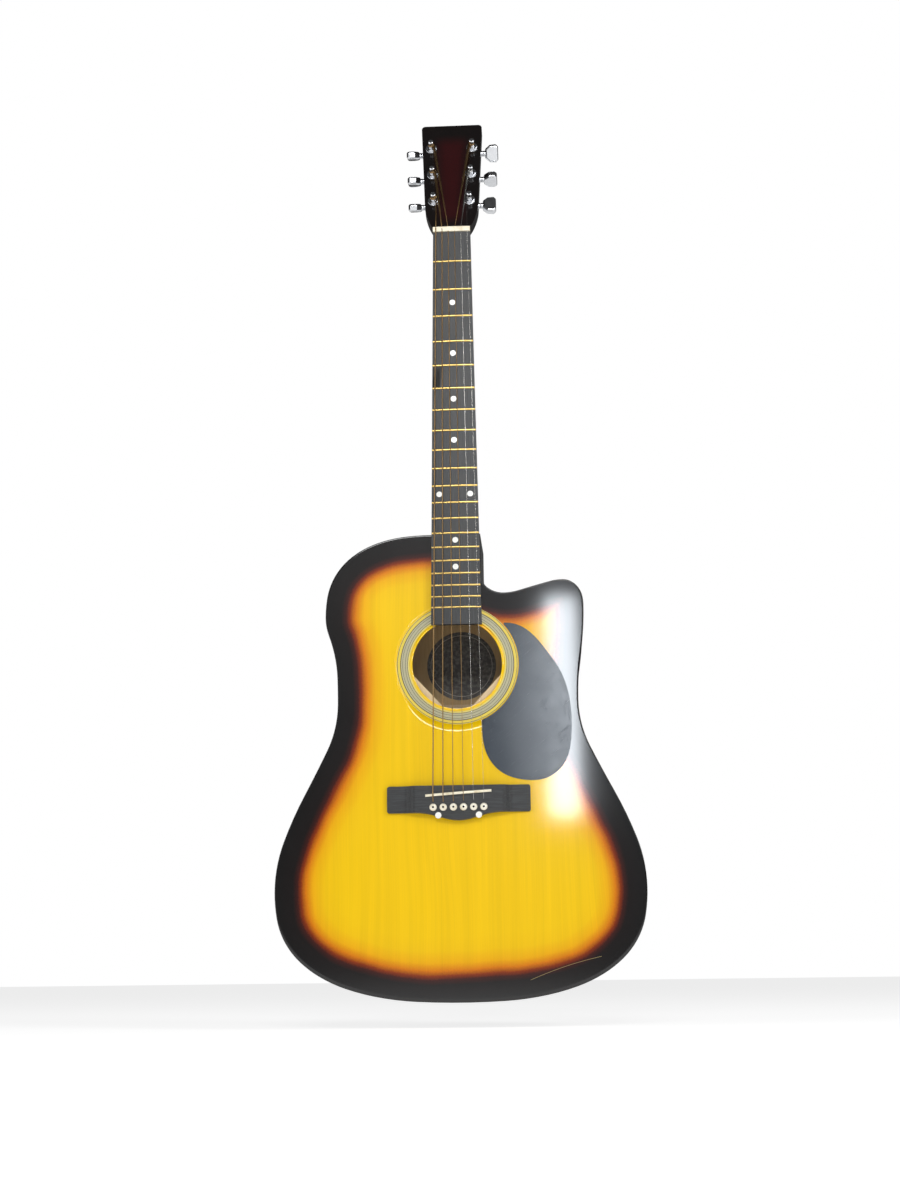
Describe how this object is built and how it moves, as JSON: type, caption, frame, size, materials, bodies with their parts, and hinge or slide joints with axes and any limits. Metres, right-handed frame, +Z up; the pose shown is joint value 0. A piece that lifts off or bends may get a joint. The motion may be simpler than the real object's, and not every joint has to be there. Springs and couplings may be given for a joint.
{
  "type": "acoustic guitar",
  "caption": "Steel-string acoustic guitar with a cutaway body, sunburst top, pinned bridge and sealed tuning machines whose worm drives turn the string posts.",
  "frame": {"origin": "centre of the nut's front edge, in the plane of the soundboard's face, where the neck is gripped or hung", "axes": "+Z up the neck to the headstock, +X to the treble side, the front faces -Y"},
  "size_m": [0.402, 0.1275, 1.026],
  "materials": {
    "top_lacquer": "high gloss sunburst lacquer over spruce-like grain",
    "rosette_inlay": "ringed inlay under gloss lacquer",
    "dark_lacquer": "high gloss near-black lacquer",
    "inner_wood": "bare, sanded",
    "label_paper": "matt printed paper",
    "black_board": "satin, dyed dark hardwood",
    "fret_wire": "polished, slightly tarnished",
    "pearl_dots": "pearl-like, polished",
    "bone": "polished",
    "cream_plastic": "moulded, glossy",
    "black_plastic": "glossy",
    "black_gloss": "high gloss with fine scratches",
    "rod_steel": "machined",
    "tuner_chrome": "polished chrome plate",
    "button_chrome": "polished chrome plate",
    "gear_brass": "machined",
    "worm_steel": "machined",
    "wound_string": "bronze wire winding",
    "plain_string": "plain drawn wire"
  },
  "bodies": {
    "root": {"soundboard": "top_lacquer", "rosette": "rosette_inlay", "back_plate": "dark_lacquer", "bass_side": "dark_lacquer", "treble_side": "dark_lacquer", "neck_block": "inner_wood", "tail_block": "inner_wood", "linings": "inner_wood", "top_braces": "inner_wood", "bridge_plate": "inner_wood", "back_braces": "inner_wood", "label": "label_paper", "neck": "dark_lacquer", "fingerboard": "black_board", "frets": "fret_wire", "position_dots": "pearl_dots", "nut": "bone", "truss_rod": "rod_steel", "bridge": "black_board", "saddle": "bone", "bridge_pins": "cream_plastic", "pin_dots": "black_plastic", "bridge_dots": "pearl_dots", "bridge_bolts": "rod_steel", "pickguard": "black_gloss", "tuner_housings": "tuner_chrome", "tuner_screws": "tuner_chrome", "tuner_bushings": "tuner_chrome", "string_1": "plain_string", "string_2": "plain_string", "string_3": "wound_string", "string_4": "wound_string", "string_5": "wound_string", "string_6": "wound_string"},
    "truss_nut": {"truss_nut": "rod_steel"},
    "tuner_button_1": {"worm_shaft_1": "worm_steel", "button_1": "button_chrome"},
    "tuner_post_1": {"post_1": "tuner_chrome", "gear_1": "gear_brass"},
    "tuner_button_2": {"worm_shaft_2": "worm_steel", "button_2": "button_chrome"},
    "tuner_post_2": {"post_2": "tuner_chrome", "gear_2": "gear_brass"},
    "tuner_button_3": {"worm_shaft_3": "worm_steel", "button_3": "button_chrome"},
    "tuner_post_3": {"post_3": "tuner_chrome", "gear_3": "gear_brass"},
    "tuner_button_4": {"worm_shaft_4": "worm_steel", "button_4": "button_chrome"},
    "tuner_post_4": {"post_4": "tuner_chrome", "gear_4": "gear_brass"},
    "tuner_button_5": {"worm_shaft_5": "worm_steel", "button_5": "button_chrome"},
    "tuner_post_5": {"post_5": "tuner_chrome", "gear_5": "gear_brass"},
    "tuner_button_6": {"worm_shaft_6": "worm_steel", "button_6": "button_chrome"},
    "tuner_post_6": {"post_6": "tuner_chrome", "gear_6": "gear_brass"}
  },
  "joints": [
    {"name": "truss_nut_turn", "type": "hinge", "parent": "root", "child": "truss_nut", "pos_m": [0, 0.0073, -0.4205], "axis": [0, 0, 1], "range_deg": [-360, 360]},
    {"name": "button_turn_1", "type": "hinge", "parent": "root", "child": "tuner_button_1", "pos_m": [0.021, 0.02369, 0.04461], "axis": [1, 0, 0], "continuous": true},
    {"name": "post_turn_1", "type": "hinge", "parent": "root", "child": "tuner_post_1", "pos_m": [0.021, 0.00443, 0.04384], "axis": [0, -0.9703, 0.2419], "continuous": true, "deforming": ["string_1"]},
    {"name": "button_turn_2", "type": "hinge", "parent": "root", "child": "tuner_button_2", "pos_m": [0.0226, 0.03313, 0.08245], "axis": [1, 0, 0], "continuous": true},
    {"name": "post_turn_2", "type": "hinge", "parent": "root", "child": "tuner_post_2", "pos_m": [0.0226, 0.01387, 0.08168], "axis": [0, -0.9703, 0.2419], "continuous": true, "deforming": ["string_2"]},
    {"name": "button_turn_3", "type": "hinge", "parent": "root", "child": "tuner_button_3", "pos_m": [0.0242, 0.04256, 0.12029], "axis": [1, 0, 0], "continuous": true},
    {"name": "post_turn_3", "type": "hinge", "parent": "root", "child": "tuner_post_3", "pos_m": [0.0242, 0.0233, 0.11952], "axis": [0, -0.9703, 0.2419], "continuous": true, "deforming": ["string_3"]},
    {"name": "button_turn_4", "type": "hinge", "parent": "root", "child": "tuner_button_4", "pos_m": [-0.0242, 0.04256, 0.12029], "axis": [-1, 0, 0], "continuous": true},
    {"name": "post_turn_4", "type": "hinge", "parent": "root", "child": "tuner_post_4", "pos_m": [-0.0242, 0.0233, 0.11952], "axis": [0, -0.9703, 0.2419], "continuous": true, "deforming": ["string_4"]},
    {"name": "button_turn_5", "type": "hinge", "parent": "root", "child": "tuner_button_5", "pos_m": [-0.0226, 0.03313, 0.08245], "axis": [-1, 0, 0], "continuous": true},
    {"name": "post_turn_5", "type": "hinge", "parent": "root", "child": "tuner_post_5", "pos_m": [-0.0226, 0.01387, 0.08168], "axis": [0, -0.9703, 0.2419], "continuous": true, "deforming": ["string_5"]},
    {"name": "button_turn_6", "type": "hinge", "parent": "root", "child": "tuner_button_6", "pos_m": [-0.021, 0.02369, 0.04461], "axis": [-1, 0, 0], "continuous": true},
    {"name": "post_turn_6", "type": "hinge", "parent": "root", "child": "tuner_post_6", "pos_m": [-0.021, 0.00443, 0.04384], "axis": [0, -0.9703, 0.2419], "continuous": true, "deforming": ["string_6"]}
  ],
  "couplings": [
    {"joint": "post_turn_1", "follows": "button_turn_1", "ratio": 0.071429},
    {"joint": "post_turn_2", "follows": "button_turn_2", "ratio": 0.071429},
    {"joint": "post_turn_3", "follows": "button_turn_3", "ratio": 0.071429},
    {"joint": "post_turn_4", "follows": "button_turn_4", "ratio": -0.071429},
    {"joint": "post_turn_5", "follows": "button_turn_5", "ratio": -0.071429},
    {"joint": "post_turn_6", "follows": "button_turn_6", "ratio": -0.071429}
  ]
}
